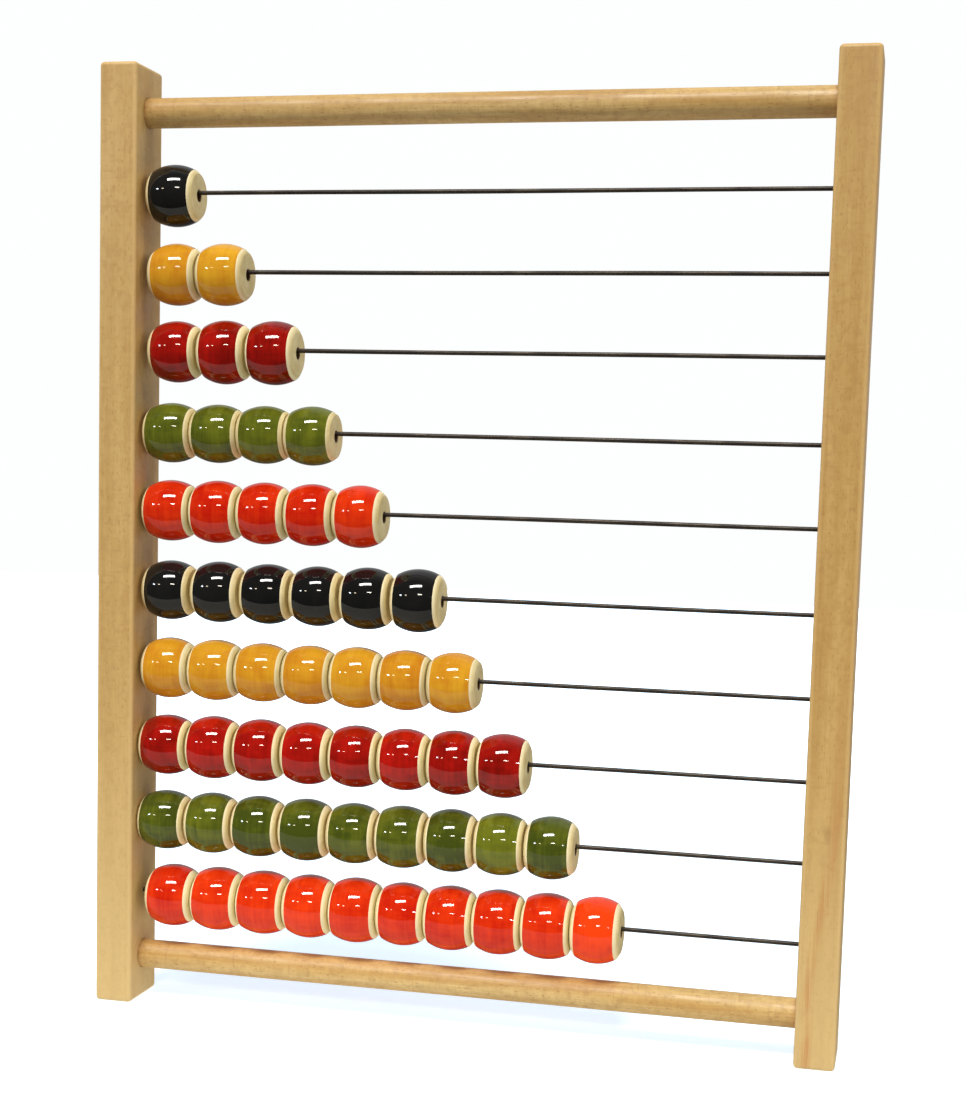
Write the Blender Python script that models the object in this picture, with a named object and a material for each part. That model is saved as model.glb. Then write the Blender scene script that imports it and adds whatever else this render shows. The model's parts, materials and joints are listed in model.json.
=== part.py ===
"""A ten-row wooden counting abacus: two posts, two dowel rails, ten steel wires and fifty-five turned beads.

+X runs to the right along the wires, +Y to the back, +Z up. The origin is on the ground, midway between
the posts and midway between front and back. Row 1 is the top row and carries one bead; each row below
carries one more. At rest the beads stand at the left post.
"""

import math

import bmesh
import bpy
from mathutils import Matrix, Vector

MM = 0.001

# Frame
FRAME_HEIGHT = 400 * MM
INNER_WIDTH = 286 * MM  # free width between the posts
POST_WIDTH = 16.5 * MM
POST_DEPTH = 28 * MM
POST_EDGE_RADIUS = 1.6 * MM
RAIL_RADIUS = 6.2 * MM
RAIL_INSET = 19 * MM  # from each end of the posts to the rail's axis
RAIL_SEAT_DEPTH = 10 * MM

# Wires
WIRE_RADIUS = 1 * MM
WIRE_SEAT_DEPTH = 8 * MM

# Beads: a lacquered barrel with a bare chamfer and a flat bare face at each end
BEAD_LENGTH = 20.5 * MM
BEAD_FACE_RADIUS = 9.6 * MM
BEAD_CHAMFER_LENGTH = 1.8 * MM
BEAD_BELLY_RISE = 2 * MM  # from the band's edge to the middle of the belly
BEAD_BORE_RADIUS = 2.5 * MM
BEAD_HANG = 1.2 * MM  # a bead's axis lies this far below its wire's axis

# Each row in millimetres, top row first: holes drilled by eye, and each row's beads turned as one batch
WIRE_HEIGHTS_MM = (348.0, 315.3, 283.0, 248.8, 215.7, 181.5, 147.8, 114.1, 80.9, 47.6)
BEAD_RADII_MM = (12.8, 12.8, 13.2, 12.5, 13.2, 13.0, 12.9, 13.3, 13.1, 13.6)
START_GAPS_MM = (2.2, 3.1, 3.5, 1.5, 1.4, 1.7, 1.5, 0.7, 0.4, 4.2)  # post to first bead, at rest
BEAD_GAPS_MM = (0.7, 0.9, 1.3, 0.5, 0.7, 1.6, 0.7, 0.95, 0.95, 0.4)  # bead to bead, at rest

# The two longest rows carry their beads in pairs that stand face to face
FIRST_PAIRED_ROW = 9

# Fits and smoothness
CLEARANCE = 0.3 * MM
POST_EDGE_STEPS = 2
RAIL_SIDES = 24
WIRE_SIDES = 10
BEAD_SIDES = 16
BELLY_STEPS = 4
SMOOTH_BELOW = math.radians(35)

ROW_COUNT = len(WIRE_HEIGHTS_MM)
POST_CENTRE_X = (INNER_WIDTH + POST_WIDTH) / 2
RAIL_HEIGHTS = {"top_rail": FRAME_HEIGHT - RAIL_INSET, "bottom_rail": RAIL_INSET}

# Base colours in linear RGB
BEECH = (0.58, 0.36, 0.15)
STEEL = (0.035, 0.03, 0.026)
ROW_LACQUERS = (
    ("lacquer_black", (0.006, 0.006, 0.008)),
    ("lacquer_amber", (0.62, 0.25, 0.02)),
    ("lacquer_crimson", (0.36, 0.01, 0.007)),
    ("lacquer_green", (0.09, 0.13, 0.012)),
    ("lacquer_orange", (0.72, 0.04, 0.008)),
)


def clear_scene():
    for obj in list(bpy.data.objects):
        bpy.data.objects.remove(obj, do_unlink=True)


def make_material(name, colour, roughness, metallic=0.0):
    material = bpy.data.materials.new(name)
    material.use_nodes = True
    shader = material.node_tree.nodes["Principled BSDF"]
    shader.inputs["Base Color"].default_value = (*colour, 1.0)
    shader.inputs["Roughness"].default_value = roughness
    shader.inputs["Metallic"].default_value = metallic
    return material


def make_empty(name, parent=None, location=(0, 0, 0)):
    empty = bpy.data.objects.new(name, None)
    empty.empty_display_size = POST_DEPTH
    empty.parent = parent
    empty.location = location
    bpy.context.scene.collection.objects.link(empty)
    return empty


def make_object(name, bm, material, parent, location=(0, 0, 0)):
    """Turns a bmesh into a smooth-shaded object that keeps its edges sharp."""
    mesh = bpy.data.meshes.new(name)
    bmesh.ops.recalc_face_normals(bm, faces=bm.faces)
    bm.to_mesh(mesh)
    bm.free()
    mesh.shade_smooth()
    mesh.set_sharp_from_angle(angle=SMOOTH_BELOW)
    if material is not None:
        mesh.materials.append(material)
    obj = bpy.data.objects.new(name, mesh)
    obj.parent = parent
    obj.location = location
    bpy.context.scene.collection.objects.link(obj)
    return obj


def wire_height(row):
    return WIRE_HEIGHTS_MM[row - 1] * MM


def add_rod(bm, radius, length, sides, centre=(0, 0, 0)):
    """Adds a closed cylinder that lies along X."""
    turn_to_x = Matrix.Rotation(math.pi / 2, 4, "Y")
    bmesh.ops.create_cone(
        bm,
        cap_ends=True,
        segments=sides,
        radius1=radius,
        radius2=radius,
        depth=length,
        matrix=Matrix.Translation(Vector(centre)) @ turn_to_x,
    )


def make_seat_cutter(name, parent, inner_face_x):
    """All the blind holes of one post, as closed cylinders centred on its inner face."""
    bm = bmesh.new()
    seats = [(height, RAIL_RADIUS, RAIL_SEAT_DEPTH, RAIL_SIDES) for height in RAIL_HEIGHTS.values()]
    for row in range(1, ROW_COUNT + 1):
        seats.append((wire_height(row), WIRE_RADIUS, WIRE_SEAT_DEPTH, WIRE_SIDES))
    for height, radius, depth, sides in seats:
        length = 2 * (depth + CLEARANCE)
        add_rod(bm, radius + CLEARANCE, length, sides, (inner_face_x, 0, height))
    cutter = make_object(name, bm, None, parent)
    cutter.hide_render = True
    cutter.display_type = "WIRE"
    return cutter


def make_post(name, side, parent, material):
    """A square-edged upright; side is -1 for the left post and +1 for the right one."""
    bm = bmesh.new()
    size = Matrix.Diagonal((POST_WIDTH, POST_DEPTH, FRAME_HEIGHT, 1))
    lift = Matrix.Translation((0, 0, FRAME_HEIGHT / 2))
    bmesh.ops.create_cube(bm, size=1, matrix=lift @ size)
    post = make_object(name, bm, material, parent, (side * POST_CENTRE_X, 0, 0))
    ease = post.modifiers.new("eased_edges", "BEVEL")
    ease.width = POST_EDGE_RADIUS
    ease.segments = POST_EDGE_STEPS
    seats = post.modifiers.new("seats", "BOOLEAN")
    seats.operation = "DIFFERENCE"
    seats.object = make_seat_cutter(f"{name}_seats", parent, side * INNER_WIDTH / 2)
    return post


def make_rail(name, height, parent, material):
    bm = bmesh.new()
    add_rod(bm, RAIL_RADIUS, INNER_WIDTH + 2 * RAIL_SEAT_DEPTH, RAIL_SIDES)
    return make_object(name, bm, material, parent, (0, 0, height))


def make_wire(name, parent, material):
    """One wire; its parent empty stands where the wire leaves the left post."""
    bm = bmesh.new()
    length = INNER_WIDTH + 2 * WIRE_SEAT_DEPTH
    add_rod(bm, WIRE_RADIUS, length, WIRE_SIDES, (INNER_WIDTH / 2, 0, 0))
    return make_object(name, bm, material, parent)


def bead_outline(start_x, bead_radius):
    """The outside of one bead, as (x, radius) from its left face to its right face."""
    half_band = BEAD_LENGTH / 2 - BEAD_CHAMFER_LENGTH
    arc_radius = (half_band**2 + BEAD_BELLY_RISE**2) / (2 * BEAD_BELLY_RISE)
    middle = start_x + BEAD_LENGTH / 2
    points = [(start_x, BEAD_FACE_RADIUS)]
    for step in range(BELLY_STEPS + 1):
        across = half_band * (2 * step / BELLY_STEPS - 1)
        drop = arc_radius - math.sqrt(arc_radius**2 - across**2)
        points.append((middle + across, bead_radius - drop))
    points.append((start_x + BEAD_LENGTH, BEAD_FACE_RADIUS))
    return points


def turn_beads(count, gap, bead_radius):
    """Beads turned on one axis along X from x = 0, face to face across a thin neck where there are two."""
    outline = []
    for index in range(count):
        outline += bead_outline(index * (BEAD_LENGTH + gap), bead_radius)
    end_x = outline[-1][0]
    profile = [(0, BEAD_BORE_RADIUS), *outline, (end_x, BEAD_BORE_RADIUS)]
    bm = bmesh.new()
    ring = [bm.verts.new((x, 0, radius - BEAD_HANG)) for x, radius in profile]
    edges = [bm.edges.new(pair) for pair in zip(ring, ring[1:] + ring[:1])]
    bmesh.ops.spin(
        bm,
        geom=ring + edges,
        cent=(0, 0, -BEAD_HANG),
        axis=(1, 0, 0),
        angle=2 * math.pi,
        steps=BEAD_SIDES,
        use_merge=True,
    )
    return bm


def make_row(row, parent, wire_material, lacquer):
    """One wire and its beads, from the left post to the right."""
    row_empty = make_empty(f"row_{row:02d}", parent, (-INNER_WIDTH / 2, 0, wire_height(row)))
    make_wire(f"wire_{row:02d}", row_empty, wire_material)
    gap = BEAD_GAPS_MM[row - 1] * MM
    pitch = BEAD_LENGTH + gap
    start = START_GAPS_MM[row - 1] * MM
    bead_radius = BEAD_RADII_MM[row - 1] * MM
    step = 2 if row >= FIRST_PAIRED_ROW else 1
    for first in range(1, row + 1, step):
        last = min(first + step - 1, row)
        number = f"{first:02d}" if first == last else f"{first:02d}_{last:02d}"
        bm = turn_beads(last - first + 1, gap, bead_radius)
        location = (start + (first - 1) * pitch, 0, 0)
        make_object(f"row_{row:02d}_bead_{number}", bm, lacquer, row_empty, location)


def build_abacus():
    clear_scene()
    beech = make_material("beech", BEECH, 0.35)
    steel = make_material("blackened_steel", STEEL, 0.4, metallic=0.8)
    lacquers = [make_material(name, colour, 0.12) for name, colour in ROW_LACQUERS]
    abacus = make_empty("abacus")
    make_post("left_post", -1, abacus, beech)
    make_post("right_post", 1, abacus, beech)
    for name, height in RAIL_HEIGHTS.items():
        make_rail(name, height, abacus, beech)
    for row in range(1, ROW_COUNT + 1):
        make_row(row, abacus, steel, lacquers[(row - 1) % len(lacquers)])


build_abacus()
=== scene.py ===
"""The looks of the ten-row counting abacus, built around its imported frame.

Sizes are in metres, in the frame's own axes: +X to the right along the wires, +Y to the back, +Z up.
"""

import json
import math
import random

import bmesh
import bpy
from mathutils import Matrix, Vector


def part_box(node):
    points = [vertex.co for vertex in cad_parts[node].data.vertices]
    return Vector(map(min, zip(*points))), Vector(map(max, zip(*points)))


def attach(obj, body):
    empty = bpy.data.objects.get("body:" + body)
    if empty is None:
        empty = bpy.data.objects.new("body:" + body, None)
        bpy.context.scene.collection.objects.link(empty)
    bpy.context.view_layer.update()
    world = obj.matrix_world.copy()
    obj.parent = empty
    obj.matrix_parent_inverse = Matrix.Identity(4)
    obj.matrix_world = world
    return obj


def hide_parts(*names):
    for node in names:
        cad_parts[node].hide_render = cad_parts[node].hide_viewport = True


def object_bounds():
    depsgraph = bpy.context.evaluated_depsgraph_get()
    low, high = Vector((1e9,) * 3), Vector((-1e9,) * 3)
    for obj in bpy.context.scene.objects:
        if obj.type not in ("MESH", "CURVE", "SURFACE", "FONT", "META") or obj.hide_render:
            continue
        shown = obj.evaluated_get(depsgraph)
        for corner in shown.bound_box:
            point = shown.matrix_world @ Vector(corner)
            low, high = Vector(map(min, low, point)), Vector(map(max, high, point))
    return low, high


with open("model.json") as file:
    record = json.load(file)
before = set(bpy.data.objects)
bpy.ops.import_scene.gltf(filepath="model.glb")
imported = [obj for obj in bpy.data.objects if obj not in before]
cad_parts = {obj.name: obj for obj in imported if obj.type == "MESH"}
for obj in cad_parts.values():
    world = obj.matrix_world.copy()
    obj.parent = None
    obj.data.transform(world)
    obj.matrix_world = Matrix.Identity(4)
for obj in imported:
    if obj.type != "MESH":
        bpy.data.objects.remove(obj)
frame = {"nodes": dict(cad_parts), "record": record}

MM = 0.001
SEED = 20
SHARP_FROM = math.radians(32)

# Posts, rails and wires
POST_EDGE_RADIUS = 1.8 * MM
POST_EDGE_SEGMENTS = 5
SEAT_GAP = 0.16 * MM  # between a rod and the wall of its hole
SEAT_SIDES = 48
RAIL_SIDES = 64
RAIL_RINGS = 40
RAIL_UNEVENNESS = 0.10 * MM
WIRE_SIDES = 20
WIRE_RINGS = 48
WIRE_UNEVENNESS = 0.12 * MM
SWELL_SHARE = 0.2  # of a rod's unevenness, in its thickness
ROD_WAVES = (5, 7, 11)  # radians from end to end: sideways, up and down, in thickness

# Beads
BEAD_SIDES = 72
BELLY_STEPS = 14
BELLY_DROP = 2.1 * MM  # from the belly down to the lacquer's edge
BEAD_EDGE_LENGTH = 1.8 * MM  # from the lacquer's edge to the bead's end
SHOULDER_LENGTH = 0.45 * MM  # bare wood that carries on the belly's curve
SHOULDER_ROUND = 0.1 * MM
LACQUER_THICKNESS = 0.10 * MM
FACE_RADIUS = 9.3 * MM
FACE_ROUND = 0.35 * MM
BORE_RADIUS = 2.3 * MM
BORE_LIP = 0.3 * MM
RADIUS_SPREAD = 0.35 * MM
EDGE_SPREAD = 0.25 * MM
SEED_SPREAD = 50

# Each row's lacquer, and how light it is from 0 to 1, top row first
ROW_LACQUERS = ("black", "amber", "crimson", "green", "orange") * 2
ROW_TONES = (0.6, 0.50, 0.32, 0.48, 0.38, 0.5, 0.32, 0.48, 0.15, 0.48)
LIGHTER_BEADS = {(7, 2), (7, 5), (7, 7), (9, 2), (9, 8), (10, 10)}
LIGHTER_BY = 0.32
TONE_SPREAD = 0.18

# Colours are linear RGB. Noise scales are in features per metre.

# (deep, light) of each lacquer
LACQUERS = {
    "black": ((0.0055, 0.0056, 0.0056), (0.0110, 0.0108, 0.0100)),
    "amber": ((0.54, 0.178, 0.009), (0.74, 0.385, 0.022)),
    "crimson": ((0.17, 0.0030, 0.0012), (0.52, 0.0090, 0.0040)),
    "green": ((0.052, 0.068, 0.006), (0.19, 0.21, 0.014)),
    "orange": ((0.52, 0.0085, 0.0018), (0.86, 0.052, 0.0045)),
}
# (scale along the bead, scale across, detail, distortion, reach in tone) of what varies a lacquer
LACQUER_NOISES = {
    "rings": (900, 25, 3, 0.0, 0.10),
    "clouds": (130, 95, 2, 0.6, 0.20),
    "wood": (45, 420, 2, 0.0, 0.08),
}
LACQUER_ROUGHNESS = (0.035, 0.065)
LACQUER_IOR = 1.5
SWELL_DEPTH = 0.04 * MM
RING_DEPTH = 0.012 * MM
LACQUER_BUMP = 0.12

# (pale, deep, streak) of each piece of beech
LEFT_POST_BEECH = ((0.635, 0.430, 0.165), (0.550, 0.355, 0.125), (0.41, 0.213, 0.068))
RIGHT_POST_BEECH = ((0.610, 0.400, 0.142), (0.525, 0.320, 0.101), (0.395, 0.195, 0.056))
RAIL_BEECH = ((0.71, 0.508, 0.215), (0.53, 0.315, 0.095), (0.32, 0.155, 0.042))
# Where the grain pattern of each starts, so that no two repeat
LEFT_POST_GRAIN = 1.0
RIGHT_POST_GRAIN = 6.0
RAIL_GRAIN = 14.0
# (scale across the grain, scale along it, detail, seed step, distortion)
GRAIN_NOISES = {
    "bands": (210, 9, 3, 0, 0.0),
    "fibres": (1500, 70, 3, 3, 0.0),
    "patches": (60, 22, 2, 7, 0.0),
    "mottle": (260, 190, 3, 2, 1.2),
    "ripples": (150, 900, 2, 9, 0.8),
    "red_bands": (130, 7, 3, 11, 0.0),
    "gloss": (300, 60, 2, 5, 0.0),
}
# (noise, from, to, greatest share, True towards the streak colour or False towards the deep one)
GRAIN_LAYERS = (
    ("fibres", 0.35, 0.75, 0.24, True),
    ("patches", 0.42, 0.78, 0.45, False),
    ("mottle", 0.35, 0.75, 0.34, True),
    ("ripples", 0.52, 0.78, 0.30, True),
    ("red_bands", 0.54, 0.70, 0.30, True),
)
FLECK_SCALE = (900, 330)
FLECK_SHARE = 0.50
EDGE_SHARE = 0.75
BEECH_ROUGHNESS = (0.36, 0.52)
BEECH_SPECULAR = 0.38
FIBRE_DEPTH = 0.07 * MM
PORE_DEPTH = 0.06 * MM
PALE_FOOT = (0.66, 0.50, 0.23)
HEART_STREAK = (0.50, 0.235, 0.075)
KNOT = (0.34, 0.19, 0.065)
GLUE_STAIN = (0.40, 0.17, 0.050)

# The beads' bare ends
BARE_PALE = (0.76, 0.64, 0.33)
BARE_DEEP = (0.62, 0.49, 0.21)
# painted highlight: the chamfer's lighter colour stands in for the light it catches
BARE_CHAMFER_LIT = (0.92, 0.80, 0.50)  # the chamfer
# painted shade: the dark colour in and round each bead's bore stands in for the shade in that recess
BORE_SHADE = (0.085, 0.030, 0.012)
TURNING_RING_SCALE = 1900
TURNING_RING_DEPTH = 0.04 * MM

# The wires
STEEL_DARK = (0.024, 0.016, 0.011)
STEEL_WORN = (0.075, 0.058, 0.034)
STEEL_METALLIC = 0.35
DRAWING_LINE_DEPTH = 0.02 * MM

# The studio: a floor that only the camera sees, and two glowing sheets just below it
FLOOR_RADIUS = 2.6
FLOOR_COLOURS = ((0.80, 0.86, 0.92), (0.84, 0.90, 0.95))
FLOOR_GLOW_COLOUR = (0.88, 1.12, 1.34)
FLOOR_GLOW = (0.53, 1.2)  # near the abacus, and far from it
FLOOR_GLOW_REACH = (0.35, 1.1)
TABLE_FRONT = -0.27
TABLE_BACK = 1.2
TABLE_HALF_WIDTH = 1.0
GLOW_FADE_START = -0.04
GLOW_FADE_END = 0.06
# (name, strength, colour, share of it behind the abacus, seen by diffuse rays, seen by glossy rays)
GLOW_SHEETS = (
    ("mirror", 0.62, (1, 0.96, 0.86), 0.22, False, True),
    ("bounce", 1.25, (1, 0.98, 0.92), 1.0, True, False),
)
WORLD_COLOUR = (0.985, 1, 1)
WORLD_BACK = 0.49
WORLD_FRONT = 0.05
LAMP_DISTANCE = 5.0
# (name, azimuth from the front towards +X, elevation, roll, width, height, watts, colour)
LAMPS = (
    ("softbox", -11.6, 57.3, 20, 2.5, 0.75, 240, (1.0, 0.985, 0.96)),
    ("lamp_left", -47.0, 18.3, 0, 0.50, 0.25, 19, (0.86, 0.93, 1.0)),
    ("lamp_inner_left", -31.3, 20.4, 0, 0.42, 0.18, 8, (1.0, 0.86, 0.62)),
    ("lamp_inner_right", 8.8, 26.9, 0, 0.95, 0.24, 32, (1.0, 0.93, 0.80)),
    ("lamp_right", 38.7, 19.5, 0, 0.34, 0.24, 11, (0.92, 0.94, 1.0)),
    ("fill_right", 82.0, 30.0, 0, 2.50, 2.00, 68, (1.0, 0.97, 0.90)),
)
UNMIRRORED_LAMPS = {"fill_right"}

CAMERA_PLACE = (0.1825, -0.7467, 0.2384)
CAMERA_TURN = (13.176, -6.073, 1.543)  # degrees: heading, tilt and roll
CAMERA_LENS = 60.66
CAMERA_SENSOR = 36
CAMERA_SHIFT = 0.10

CAD_BOX = [list(corner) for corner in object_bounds()]


# ---------------------------------------------------------------- shader helpers


def new_material(name, slot_colour):
    """A material with an empty Principled shader; returns (material, node tree, shader)."""
    material = bpy.data.materials.new(name)
    material.use_nodes = True
    material.diffuse_color = (*slot_colour, 1)
    tree = material.node_tree
    return material, tree, tree.nodes["Principled BSDF"]


def feed(tree, socket, value):
    """Links a node's output to a socket, or sets the socket to a constant."""
    if isinstance(value, bpy.types.NodeSocket):
        tree.links.new(value, socket)
    else:
        socket.default_value = value


def object_point(tree):
    return tree.nodes.new("ShaderNodeTexCoord").outputs["Object"]


def attribute(tree, name):
    node = tree.nodes.new("ShaderNodeAttribute")
    node.attribute_name = name
    return node.outputs["Fac"]


def scaled(tree, vector, scale):
    node = tree.nodes.new("ShaderNodeVectorMath")
    node.operation = "MULTIPLY"
    feed(tree, node.inputs[0], vector)
    node.inputs[1].default_value = scale
    return node.outputs[0]


def calculate(tree, operation, first, second=0.0, clamp=False):
    node = tree.nodes.new("ShaderNodeMath")
    node.operation = operation
    node.use_clamp = clamp
    feed(tree, node.inputs[0], first)
    feed(tree, node.inputs[1], second)
    return node.outputs[0]


def noise(tree, vector, detail=2.0, seed=0.0, distortion=0.0):
    """Four-dimensional noise at scale 1; the seed moves it, so that pieces don't repeat."""
    node = tree.nodes.new("ShaderNodeTexNoise")
    node.noise_dimensions = "4D"
    node.inputs["Scale"].default_value = 1
    node.inputs["Detail"].default_value = detail
    node.inputs["Distortion"].default_value = distortion
    feed(tree, node.inputs["Vector"], vector)
    feed(tree, node.inputs["W"], seed)
    return node.outputs["Fac"]


def cells(tree, vector):
    """Distance to the nearest cell's centre, and a random number for that cell."""
    node = tree.nodes.new("ShaderNodeTexVoronoi")
    node.inputs["Scale"].default_value = 1
    feed(tree, node.inputs["Vector"], vector)
    split = tree.nodes.new("ShaderNodeSeparateColor")
    tree.links.new(node.outputs["Color"], split.inputs[0])
    return node.outputs["Distance"], split.outputs[0]


def ramp(tree, value, start, end, low=0.0, high=1.0):
    """Maps start..end smoothly to low..high and holds it flat outside."""
    node = tree.nodes.new("ShaderNodeMapRange")
    node.interpolation_type = "SMOOTHSTEP"
    feed(tree, node.inputs["Value"], value)
    node.inputs["From Min"].default_value = start
    node.inputs["From Max"].default_value = end
    node.inputs["To Min"].default_value = low
    node.inputs["To Max"].default_value = high
    return node.outputs["Result"]


def blend_colour(tree, factor, first, second):
    node = tree.nodes.new("ShaderNodeMix")
    node.data_type = "RGBA"
    feed(tree, node.inputs["Factor"], factor)
    sockets = [s for s in node.inputs if s.type == "RGBA"]
    for socket, colour in zip(sockets, (first, second)):
        feed(tree, socket, (*colour, 1) if isinstance(colour, tuple) else colour)
    return next(s for s in node.outputs if s.type == "RGBA")


def bump(tree, height, depth, strength=1.0, normal=None):
    """A bump whose height of 1 is depth metres."""
    node = tree.nodes.new("ShaderNodeBump")
    node.inputs["Strength"].default_value = strength
    node.inputs["Distance"].default_value = depth
    feed(tree, node.inputs["Height"], height)
    if normal is not None:
        tree.links.new(normal, node.inputs["Normal"])
    return node.outputs["Normal"]


def split_point(tree, point):
    node = tree.nodes.new("ShaderNodeSeparateXYZ")
    tree.links.new(point, node.inputs[0])
    return node.outputs[0], node.outputs[1], node.outputs[2]


def length_of(tree, first, second):
    """The length of a flat vector."""
    squares = calculate(
        tree,
        "ADD",
        calculate(tree, "MULTIPLY", first, first),
        calculate(tree, "MULTIPLY", second, second),
    )
    return calculate(tree, "SQRT", squares)


def centred(tree, value, low, high):
    """Spreads the middle of a noise over low..high."""
    return ramp(tree, value, 0.3, 0.7, low, high)


# ---------------------------------------------------------------- materials


def make_beech(name, along, colours, seed, stains):
    """Varnished beech. along is the index of the axis that the grain runs along."""
    pale, deep, streak = colours
    material, tree, shader = new_material(name, pale)
    point = object_point(tree)

    def stretched(across, lengthways):
        scale = [across, across, across]
        scale[along] = lengthways
        return scaled(tree, point, scale)

    grain = {}
    for layer, (across, lengthways, detail, step, distortion) in GRAIN_NOISES.items():
        grain[layer] = noise(tree, stretched(across, lengthways), detail, seed + step, distortion)
    fleck_distance, fleck_pick = cells(tree, stretched(*FLECK_SCALE))
    flecks = calculate(
        tree,
        "MULTIPLY",
        ramp(tree, fleck_distance, 0.12, 0.34, 1, 0),
        ramp(tree, fleck_pick, 0.25, 0.70),
    )

    colour = blend_colour(tree, centred(tree, grain["bands"], 0, 1), deep, pale)
    for layer, start, end, share, to_streak in GRAIN_LAYERS:
        mask = ramp(tree, grain[layer], start, end, 0, share)
        colour = blend_colour(tree, mask, colour, streak if to_streak else deep)
    colour = blend_colour(tree, calculate(tree, "MULTIPLY", flecks, FLECK_SHARE), colour, streak)
    worn = tuple(min(1.0, c * 1.18 + 0.05) for c in pale)
    edge = calculate(tree, "MULTIPLY", attribute(tree, "edge"), EDGE_SHARE)
    colour = blend_colour(tree, edge, colour, worn)
    for mask, stain in stains(tree, point):
        colour = blend_colour(tree, mask, colour, stain)
    feed(tree, shader.inputs["Base Color"], colour)
    feed(tree, shader.inputs["Roughness"], centred(tree, grain["gloss"], *BEECH_ROUGHNESS))
    shader.inputs["Specular IOR Level"].default_value = BEECH_SPECULAR
    grain_bump = bump(tree, grain["fibres"], FIBRE_DEPTH, 0.6)
    pores = calculate(tree, "SUBTRACT", 1.0, flecks)
    feed(tree, shader.inputs["Normal"], bump(tree, pores, PORE_DEPTH, 0.5, grain_bump))
    return material


def pale_foot(tree, point):
    """Lighter colour towards a post's foot."""
    _, _, z = split_point(tree, point)
    clouds = noise(tree, scaled(tree, point, (90, 90, 30)), 2, 2.5)
    level = calculate(tree, "ADD", z, calculate(tree, "MULTIPLY", clouds, 0.05))
    return [(ramp(tree, level, -0.18, 0.0, 0.5, 0), PALE_FOOT)]


def heart_streak(tree, point):
    """The right post's pale foot, the reddish streak that slants up across its front, and a small knot."""
    x, _, z = split_point(tree, point)
    sway = noise(tree, scaled(tree, point, (0, 0, 22)), 2, 4.2)
    sway = calculate(tree, "MULTIPLY", sway, 2.4 * MM)
    slant = ramp(tree, z, -0.175, -0.09, -4.6 * MM, 3.4 * MM)
    offset = calculate(tree, "SUBTRACT", x, calculate(tree, "ADD", slant, sway))
    width = ramp(tree, calculate(tree, "ABSOLUTE", offset), 0.5 * MM, 3.0 * MM, 1, 0)
    height = ramp(tree, z, -0.12, -0.03, 0.80, 0)
    threads = noise(tree, scaled(tree, point, (1500, 1500, 30)), 3, 1.3)
    gaps = noise(tree, scaled(tree, point, (160, 160, 60)), 2, 6.3)
    grain = calculate(
        tree,
        "MULTIPLY",
        ramp(tree, threads, 0.30, 0.62),
        ramp(tree, gaps, 0.30, 0.55, 0.45, 1),
    )
    mask = calculate(tree, "MULTIPLY", calculate(tree, "MULTIPLY", width, height), grain)
    beside_knot = calculate(tree, "SUBTRACT", x, 1.2 * MM)
    above_knot = calculate(tree, "MULTIPLY", calculate(tree, "ADD", z, 0.104), 0.35)
    from_knot = length_of(tree, beside_knot, above_knot)
    knot = ramp(tree, from_knot, 0.3 * MM, 2.0 * MM, 0.45, 0)
    return [*pale_foot(tree, point), (mask, HEART_STREAK), (knot, KNOT)]


def glue_stain(tree, point):
    """The darker, redder wood where a rail enters its posts."""
    x, _, _ = split_point(tree, point)
    half = (POSTS["right_post"][0].x - POSTS["left_post"][1].x) / 2
    mottle = noise(tree, scaled(tree, point, (500, 260, 260)), 2, 8.1)
    mottle = calculate(tree, "MULTIPLY", mottle, 3 * MM)
    near = calculate(tree, "ADD", calculate(tree, "ABSOLUTE", x), mottle)
    return [(ramp(tree, near, half - 0.6 * MM, half + 2.2 * MM, 0, 0.55), GLUE_STAIN)]


def make_lacquer(name, deep, light):
    """Lacquer that was melted on while the bead turned: fine rings and soft clouds under a hard gloss."""
    material, tree, shader = new_material(f"lacquer_{name}", light)
    point = object_point(tree)
    seed = attribute(tree, "seed")
    tone = attribute(tree, "tone")
    layers = {}
    for layer, (along, across, detail, distortion, reach) in LACQUER_NOISES.items():
        layers[layer] = noise(tree, scaled(tree, point, (along, across, across)), detail, seed, distortion)
        tone = calculate(tree, "ADD", tone, centred(tree, layers[layer], -reach, reach))
    tone = calculate(tree, "ADD", tone, 0.0, True)
    feed(tree, shader.inputs["Base Color"], blend_colour(tree, tone, deep, light))
    feed(tree, shader.inputs["Roughness"], centred(tree, layers["clouds"], *LACQUER_ROUGHNESS))
    shader.inputs["IOR"].default_value = LACQUER_IOR
    swell = bump(tree, layers["clouds"], SWELL_DEPTH, LACQUER_BUMP)
    feed(tree, shader.inputs["Normal"], bump(tree, layers["rings"], RING_DEPTH, LACQUER_BUMP, swell))
    return material


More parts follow.
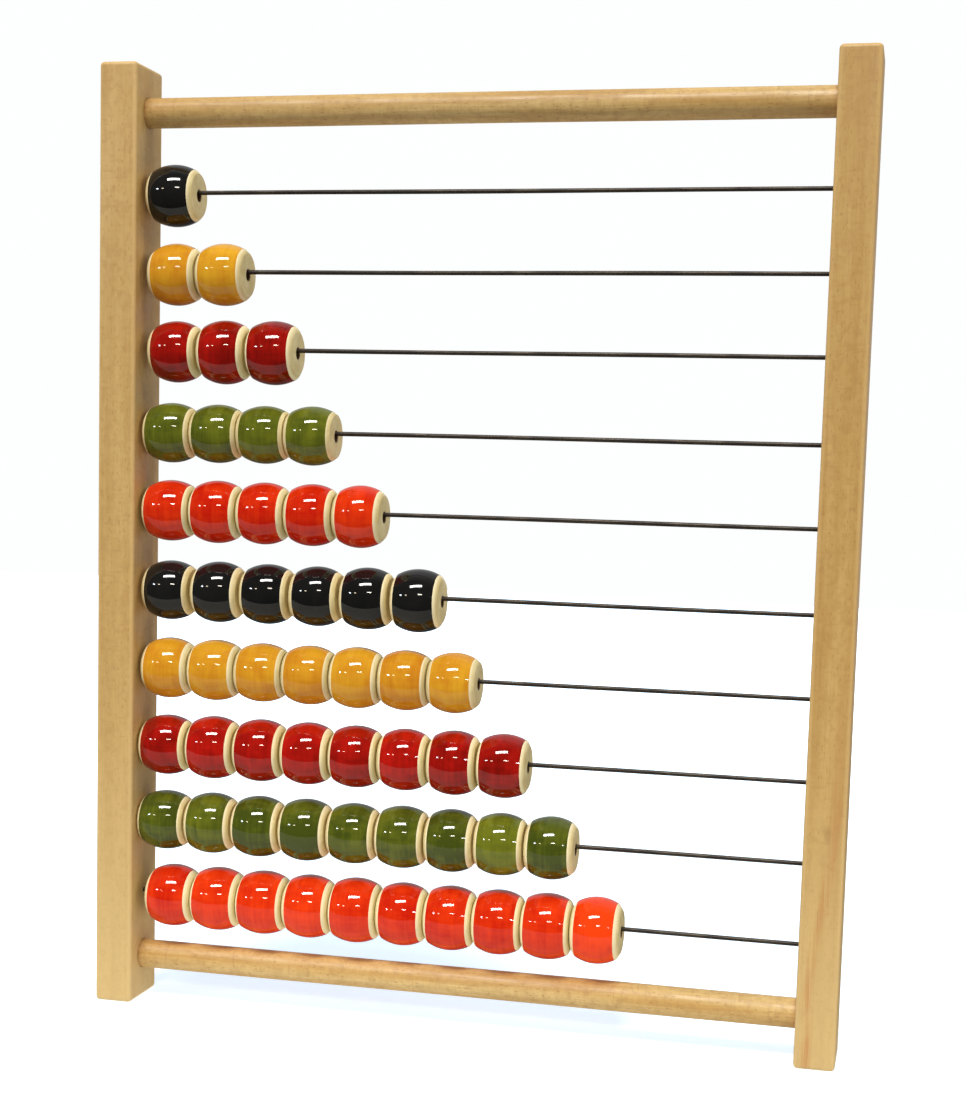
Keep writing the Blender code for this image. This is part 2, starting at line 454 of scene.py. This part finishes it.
def make_bare_wood():
    """The beads' unlacquered ends: pale, close-grained, with turning rings, a painted highlight on the
    chamfer and painted shade in and round the bore.
    """
    material, tree, shader = new_material("bead_bare_wood", BARE_PALE)
    point = object_point(tree)
    seed = attribute(tree, "seed")
    _, across, up = split_point(tree, point)
    distance = length_of(tree, across, up)
    ring_point = tree.nodes.new("ShaderNodeCombineXYZ")
    feed(tree, ring_point.inputs[0], calculate(tree, "MULTIPLY", distance, TURNING_RING_SCALE))
    rings = noise(tree, ring_point.outputs[0], 2, seed)
    fibres = noise(tree, scaled(tree, point, (90, 520, 520)), 3, seed)
    clouds = noise(tree, scaled(tree, point, (160, 160, 160)), 2, seed)
    colour = blend_colour(tree, centred(tree, clouds, 0, 1), BARE_DEEP, BARE_PALE)
    colour = blend_colour(tree, ramp(tree, rings, 0.4, 0.8, 0, 0.30), colour, BARE_DEEP)
    colour = blend_colour(tree, ramp(tree, fibres, 0.55, 0.8, 0, 0.35), colour, BARE_DEEP)
    # painted light: the chamfer is painted lighter than the face, a painted highlight that leaves the face
    # darker like painted shade towards the next bead
    chamfer_light = ramp(tree, distance, FACE_RADIUS + 0.1 * MM, FACE_RADIUS + 1.5 * MM, 0, 0.95)
    colour = blend_colour(tree, chamfer_light, colour, BARE_CHAMFER_LIT)
    # painted shade: darker colour in the bore and on the face round it, where shade falls
    bore = ramp(tree, distance, BORE_RADIUS + 0.05 * MM, BORE_RADIUS + 0.55 * MM, 0.92, 0)
    colour = blend_colour(tree, bore, colour, BORE_SHADE)
    feed(tree, shader.inputs["Base Color"], colour)
    feed(tree, shader.inputs["Roughness"], centred(tree, fibres, 0.42, 0.58))
    feed(tree, shader.inputs["Normal"], bump(tree, rings, TURNING_RING_DEPTH, 0.4))
    return material


def make_steel():
    """Blackened steel wire, with worn lighter patches and fine drawing lines."""
    material, tree, shader = new_material("blackened_steel", STEEL_DARK)
    point = object_point(tree)
    patches = noise(tree, scaled(tree, point, (90, 500, 500)), 3, 2.0)
    lines = noise(tree, scaled(tree, point, (60, 4000, 4000)), 2, 5.0)
    colour = blend_colour(tree, ramp(tree, patches, 0.45, 0.75, 0, 0.7), STEEL_DARK, STEEL_WORN)
    feed(tree, shader.inputs["Base Color"], colour)
    feed(tree, shader.inputs["Roughness"], centred(tree, patches, 0.55, 0.38))
    shader.inputs["Metallic"].default_value = STEEL_METALLIC
    feed(tree, shader.inputs["Normal"], bump(tree, lines, DRAWING_LINE_DEPTH, 0.4))
    return material


def make_floor_material():
    """White paper whose own glow keeps the shadow faint and hides the far edge."""
    material, tree, shader = new_material("floor_white", (0.9, 0.94, 1))
    point = object_point(tree)
    mottle = noise(tree, scaled(tree, point, (9, 9, 9)), 3, 0.0)
    colour = blend_colour(tree, centred(tree, mottle, 0, 1), *FLOOR_COLOURS)
    feed(tree, shader.inputs["Base Color"], colour)
    shader.inputs["Roughness"].default_value = 0.8
    shader.inputs["Specular IOR Level"].default_value = 0.1
    shader.inputs["Emission Color"].default_value = (*FLOOR_GLOW_COLOUR, 1)
    x, y, _ = split_point(tree, point)
    glow = ramp(tree, length_of(tree, x, y), *FLOOR_GLOW_REACH, *FLOOR_GLOW)
    feed(tree, shader.inputs["Emission Strength"], glow)
    return material


def make_glow(name, glow, colour, back_share):
    """A plain glow with soft clouds, which fades to back_share of itself behind the abacus."""
    material, tree, shader = new_material(name, colour)
    point = object_point(tree)
    _, depth, _ = split_point(tree, point)
    clouds = noise(tree, scaled(tree, point, (6, 6, 6)), 2, 3.0)
    strength = centred(tree, clouds, 0.9 * glow, 1.1 * glow)
    fade = ramp(tree, depth, GLOW_FADE_START, GLOW_FADE_END, 1, back_share)
    shader.inputs["Base Color"].default_value = (0, 0, 0, 1)
    shader.inputs["Specular IOR Level"].default_value = 0
    shader.inputs["Emission Color"].default_value = (*colour, 1)
    feed(tree, shader.inputs["Emission Strength"], calculate(tree, "MULTIPLY", strength, fade))
    return material


# ---------------------------------------------------------------- shapes


def link_mesh(name, mesh, location=(0, 0, 0)):
    piece = bpy.data.objects.new(name, mesh)
    piece.location = location
    bpy.context.scene.collection.objects.link(piece)
    return piece


def add_attribute(mesh, name, values):
    """A number on each vertex; one number stands for all of them."""
    layer = mesh.attributes.new(name, "FLOAT", "POINT")
    if isinstance(values, float):
        values = [values] * len(mesh.vertices)
    layer.data.foreach_set("value", values)


def loft_mesh(name, rings, slots=None):
    """A mesh through rings of points.

    Without slots its ends are filled. With slots, one for each strip, it joins its last ring to its first.
    """
    mesh = bpy.data.meshes.new(name)
    sides = len(rings[0])
    points = [point for ring in rings for point in ring]
    strips = len(rings) if slots else len(rings) - 1
    faces = []
    indices = []
    for strip in range(strips):
        here = strip * sides
        there = (strip + 1) % len(rings) * sides
        for side in range(sides):
            after = (side + 1) % sides
            faces.append((here + side, here + after, there + after, there + side))
            indices.append(slots[strip] if slots else 0)
    if not slots:
        faces.append(tuple(reversed(range(sides))))
        faces.append(tuple(range((len(rings) - 1) * sides, len(rings) * sides)))
        indices += [0, 0]
    mesh.from_pydata(points, [], faces)
    mesh.polygons.foreach_set("material_index", indices)
    return mesh


def finish_mesh(mesh):
    """Faces out, smooth but for the real edges."""
    shape = bmesh.new()
    shape.from_mesh(mesh)
    bmesh.ops.recalc_face_normals(shape, faces=shape.faces)
    shape.to_mesh(mesh)
    shape.free()
    mesh.shade_smooth()
    mesh.set_sharp_from_angle(angle=SHARP_FROM)
    mesh.update()


def circle(x, radius, sides, phase=0.0, centre=(0.0, 0.0)):
    """Points round the X axis, or round a line beside it."""
    steps = [phase + math.tau * side / sides for side in range(sides)]
    return [(x, centre[0] + radius * math.cos(a), centre[1] + radius * math.sin(a)) for a in steps]


def make_rod(name, node, sides, rings, unevenness, chance):
    """A round rod along X in the place of a CAD node, very slightly wavy and out of true."""
    low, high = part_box(node)
    centre = (low + high) / 2
    radius = (high.z - low.z) / 2
    length = high.x - low.x
    phases = [chance.uniform(0, math.tau) for _ in range(4)]  # the last one keeps later draws in step
    outline = []
    for step in range(rings + 1):
        share = step / rings
        hold = math.sin(math.pi * share)
        waves = [math.sin(phase + wave * share) for phase, wave in zip(phases, ROD_WAVES)]
        y = unevenness * hold * waves[0]
        z = unevenness * hold * waves[1]
        swell = SWELL_SHARE * unevenness * (waves[2] - 1)
        outline.append(circle(length * (share - 0.5), radius + swell, sides, 0, (y, z)))
    mesh = loft_mesh(name, outline)
    add_attribute(mesh, "edge", 0.0)
    finish_mesh(mesh)
    return link_mesh(name, mesh, centre)


def subtract(piece, cutter):
    """Cuts one mesh out of another and removes the cutter."""
    change = piece.modifiers.new("seats", "BOOLEAN")
    change.object = cutter
    change.solver = "EXACT"
    bpy.context.view_layer.update()
    evaluated = piece.evaluated_get(bpy.context.evaluated_depsgraph_get())
    cut = bpy.data.meshes.new_from_object(evaluated)
    piece.modifiers.clear()
    piece.data = cut
    bpy.data.objects.remove(cutter)


def make_seat_cutter(post, rods, inner_x, outward):
    """One mesh of short cylinders, each a little wider than the rod that it seats."""
    shape = bmesh.new()
    for rod in rods:
        low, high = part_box(rod)
        radius = (high.z - low.z) / 2 + SEAT_GAP
        depth = (high.x - inner_x if outward > 0 else inner_x - low.x) + SEAT_GAP
        spin = Matrix.Rotation(math.pi / 2, 4, "Y")
        place = Matrix.Translation((inner_x, (low.y + high.y) / 2, (low.z + high.z) / 2))
        bmesh.ops.create_cone(
            shape,
            cap_ends=True,
            segments=SEAT_SIDES,
            radius1=radius,
            radius2=radius,
            depth=2 * depth,
            matrix=place @ spin,
        )
    mesh = bpy.data.meshes.new(f"{post}_seats")
    shape.to_mesh(mesh)
    shape.free()
    return link_mesh(f"{post}_seats", mesh)


def make_post(name, rods, outward):
    """A square-cut post with sanded, rounded edges and a blind seat for each rod."""
    low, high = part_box(name)
    centre = (low + high) / 2
    size = high - low
    shape = bmesh.new()
    bmesh.ops.create_cube(shape, size=1)
    bmesh.ops.scale(shape, vec=size, verts=shape.verts)
    bmesh.ops.bevel(
        shape,
        geom=shape.edges[:],
        offset=POST_EDGE_RADIUS,
        offset_type="OFFSET",
        segments=POST_EDGE_SEGMENTS,
        profile=0.5,
        affect="EDGES",
    )
    mesh = bpy.data.meshes.new(f"{name}_wood")
    shape.to_mesh(mesh)
    shape.free()
    piece = link_mesh(f"{name}_wood", mesh, centre)
    inner_x = low.x if outward > 0 else high.x
    subtract(piece, make_seat_cutter(name, rods, inner_x, outward))
    half = size / 2
    edges = []
    for vertex in piece.data.vertices:
        depths = sorted(half[i] - abs(vertex.co[i]) for i in range(3))
        edges.append(max(0.0, 1 - depths[1] / POST_EDGE_RADIUS))
    add_attribute(piece.data, "edge", edges)
    finish_mesh(piece.data)
    return piece


def bead_outline(length, radius, edge_length):
    """(x, radius, slot) down one side of a bead, round the bore and back; slot 0 is lacquer and 1 bare wood.

    A point's slot is that of the strip from it to the next point.
    """
    half = length / 2
    band = half - edge_length
    drop = BELLY_DROP
    arc = (band * band + drop * drop) / (2 * drop)

    def belly(x):
        return radius - arc + math.sqrt(arc * arc - x * x)

    shoulder = band + SHOULDER_LENGTH
    bare = [
        (half, BORE_RADIUS + BORE_LIP, 1),
        (half, FACE_RADIUS - FACE_ROUND * 2, 1),
        (half - 0.15 * FACE_ROUND, FACE_RADIUS - FACE_ROUND * 0.7, 1),
        (half - 0.6 * FACE_ROUND, FACE_RADIUS, 1),
        (shoulder + SHOULDER_ROUND, belly(shoulder) - LACQUER_THICKNESS - 0.12 * MM, 1),
        (shoulder - SHOULDER_ROUND, belly(shoulder - SHOULDER_ROUND) - LACQUER_THICKNESS, 1),
        (band, belly(band) - LACQUER_THICKNESS, 0),
    ]
    lacquer = [(band, belly(band) - 0.25 * LACQUER_THICKNESS, 0)]
    lacquer.append((band - 0.6 * LACQUER_THICKNESS, belly(band), 0))
    for step in range(1, BELLY_STEPS):
        x = band * (1 - 2 * step / BELLY_STEPS)
        lacquer.append((x, belly(x), 0))
    lacquer.append((-(band - 0.6 * LACQUER_THICKNESS), belly(band), 0))
    lacquer.append((-band, belly(band) - 0.25 * LACQUER_THICKNESS, 0))
    other = [(-x, r, 1) for x, r, _ in reversed(bare)]
    bore = [(-half + BORE_LIP, BORE_RADIUS, 1), (half - BORE_LIP, BORE_RADIUS, 1)]
    return bare + lacquer + other + bore


def make_bead(name, start_x, length, centre, radius, lacquer, tone, chance, materials):
    """One turned bead, its X axis on the line that it slides along."""
    radius += chance.uniform(-RADIUS_SPREAD, RADIUS_SPREAD)
    edge_length = BEAD_EDGE_LENGTH + chance.uniform(-EDGE_SPREAD, EDGE_SPREAD)
    outline = bead_outline(length, radius, edge_length)
    phase = chance.uniform(0, math.tau)
    rings = [circle(x, r, BEAD_SIDES, phase) for x, r, _ in outline]
    mesh = loft_mesh(name, rings, [slot for _, _, slot in outline])
    add_attribute(mesh, "tone", tone + chance.uniform(-TONE_SPREAD, TONE_SPREAD))
    add_attribute(mesh, "seed", chance.uniform(0, SEED_SPREAD))
    mesh.materials.append(materials[lacquer])
    mesh.materials.append(materials["bare"])
    finish_mesh(mesh)
    return link_mesh(name, mesh, (start_x + length / 2, centre.y, centre.z))


# ---------------------------------------------------------------- the frame


NODES = sorted(frame["nodes"])
BODIES = frame["record"]["behaviour"]["bodies"]
BODY_OF = {node: body for body, nodes in BODIES.items() for node in nodes}
POSTS = {name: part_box(name) for name in ("left_post", "right_post")}
RAILS = ("top_rail", "bottom_rail")
WIRES = [node for node in NODES if node.startswith("wire_")]

chance = random.Random(SEED)

# (post, side, colours, grain, stains)
posts = (
    ("left_post", -1, LEFT_POST_BEECH, LEFT_POST_GRAIN, pale_foot),
    ("right_post", 1, RIGHT_POST_BEECH, RIGHT_POST_GRAIN, heart_streak),
)
for post, outward, colours, grain, stains in posts:
    piece = make_post(post, [*RAILS, *WIRES], outward)
    piece.data.materials.clear()
    piece.data.materials.append(make_beech(f"beech_{post}", 2, colours, grain, stains))
    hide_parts(post)
    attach(piece, BODY_OF[post])

rail_beech = make_beech("beech_rails", 0, RAIL_BEECH, RAIL_GRAIN, glue_stain)
for rail in RAILS:
    piece = make_rod(f"{rail}_wood", rail, RAIL_SIDES, RAIL_RINGS, RAIL_UNEVENNESS, chance)
    piece.data.materials.append(rail_beech)
    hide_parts(rail)
    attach(piece, BODY_OF[rail])

steel = make_steel()
for wire in WIRES:
    piece = make_rod(f"{wire}_steel", wire, WIRE_SIDES, WIRE_RINGS, WIRE_UNEVENNESS, chance)
    piece.data.materials.append(steel)
    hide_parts(wire)
    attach(piece, BODY_OF[wire])


# ---------------------------------------------------------------- the beads


bead_materials = {name: make_lacquer(name, *colours) for name, colours in LACQUERS.items()}
bead_materials["bare"] = make_bare_wood()
first_low, first_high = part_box("row_01_bead_01")
bead_length = first_high.x - first_low.x

# A node is row_RR_bead_BB, or row_RR_bead_BB_BB where it stands for a pair
for node in [node for node in NODES if node.startswith("row_")]:
    low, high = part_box(node)
    centre = (low + high) / 2
    parts = node.split("_")
    row = int(parts[1])
    numbers = [int(part) for part in parts[3:]]
    starts = [low.x, high.x - bead_length][: len(numbers)]
    lacquer = ROW_LACQUERS[row - 1]
    for number, start_x in zip(numbers, starts):
        bead = make_bead(
            f"turned_bead_{row:02}_{number:02}",
            start_x,
            bead_length,
            centre,
            (high.z - low.z) / 2,
            lacquer,
            ROW_TONES[row - 1] + (LIGHTER_BY if (row, number) in LIGHTER_BEADS else 0),
            chance,
            bead_materials,
        )
        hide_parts(node)
        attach(bead, BODY_OF[node])


# ---------------------------------------------------------------- studio


def make_sheet(name, material, low, high, height):
    """A flat rectangle of the studio floor."""
    corners = [(low[0], low[1], 0), (high[0], low[1], 0), (high[0], high[1], 0), (low[0], high[1], 0)]
    mesh = bpy.data.meshes.new(name)
    mesh.from_pydata(corners, [], [(0, 1, 2, 3)])
    mesh.materials.append(material)
    sheet = link_mesh(name, mesh, (0, 0, height))
    return sheet


floor_height = CAD_BOX[0][2]
low, high = (-FLOOR_RADIUS, -FLOOR_RADIUS), (FLOOR_RADIUS, FLOOR_RADIUS)
floor = make_sheet("floor", make_floor_material(), low, high, floor_height)
floor.visible_glossy = False
floor.visible_diffuse = False

# What the beads mirror and what lights the undersides: a dim, small table top
low, high = (-TABLE_HALF_WIDTH, TABLE_FRONT), (TABLE_HALF_WIDTH, TABLE_BACK)
for name, glow, colour, back_share, diffuse, glossy in GLOW_SHEETS:
    material = make_glow(f"{name}_glow", glow, colour, back_share)
    sheet = make_sheet(name, material, low, high, floor_height - 1 * MM)
    sheet.visible_camera = False
    sheet.visible_shadow = False
    sheet.visible_diffuse = diffuse
    sheet.visible_glossy = glossy

target = Vector((0, 0, (CAD_BOX[0][2] + CAD_BOX[1][2]) / 2))
for name, azimuth, elevation, roll, width, height, watts, colour in LAMPS:
    side, rise = math.radians(azimuth), math.radians(elevation)
    level = math.cos(rise)
    towards = Vector((math.sin(side) * level, -math.cos(side) * level, math.sin(rise)))
    light = bpy.data.lights.new(name, "AREA")
    light.shape = "RECTANGLE"
    light.size = width
    light.size_y = height
    light.energy = watts
    light.color = colour
    lamp = bpy.data.objects.new(name, light)
    aim = (-towards).to_track_quat("-Z", "Y").to_matrix().to_4x4()
    spin = Matrix.Rotation(math.radians(roll), 4, "Z")
    lamp.matrix_world = Matrix.Translation(target + towards * LAMP_DISTANCE) @ aim @ spin
    lamp.visible_glossy = name not in UNMIRRORED_LAMPS
    bpy.context.scene.collection.objects.link(lamp)

world = bpy.data.worlds.new("studio")
bpy.context.scene.world = world
world.use_nodes = True
tree = world.node_tree
background = tree.nodes["Background"]
direction = tree.nodes.new("ShaderNodeTexCoord").outputs["Generated"]
_, ahead, _ = split_point(tree, direction)
surround = ramp(tree, ahead, -0.25, 0.35, WORLD_FRONT, WORLD_BACK)
seen = tree.nodes.new("ShaderNodeLightPath").outputs["Is Camera Ray"]
feed(tree, background.inputs["Strength"], calculate(tree, "MAXIMUM", surround, seen))
background.inputs["Color"].default_value = (*WORLD_COLOUR, 1)

view_camera = bpy.data.cameras.new("camera")
view_camera.lens = CAMERA_LENS
view_camera.sensor_width = CAMERA_SENSOR
view_camera.shift_y = CAMERA_SHIFT
camera = bpy.data.objects.new("camera", view_camera)
heading, tilt, roll = (math.radians(angle) for angle in CAMERA_TURN)
turn = Matrix.Rotation(heading, 4, "Z") @ Matrix.Rotation(math.pi / 2 + tilt, 4, "X")
camera.matrix_world = Matrix.Translation(CAMERA_PLACE) @ turn @ Matrix.Rotation(roll, 4, "Z")
bpy.context.scene.collection.objects.link(camera)
bpy.context.scene.camera = camera
bpy.context.scene.view_settings.view_transform = "Standard"
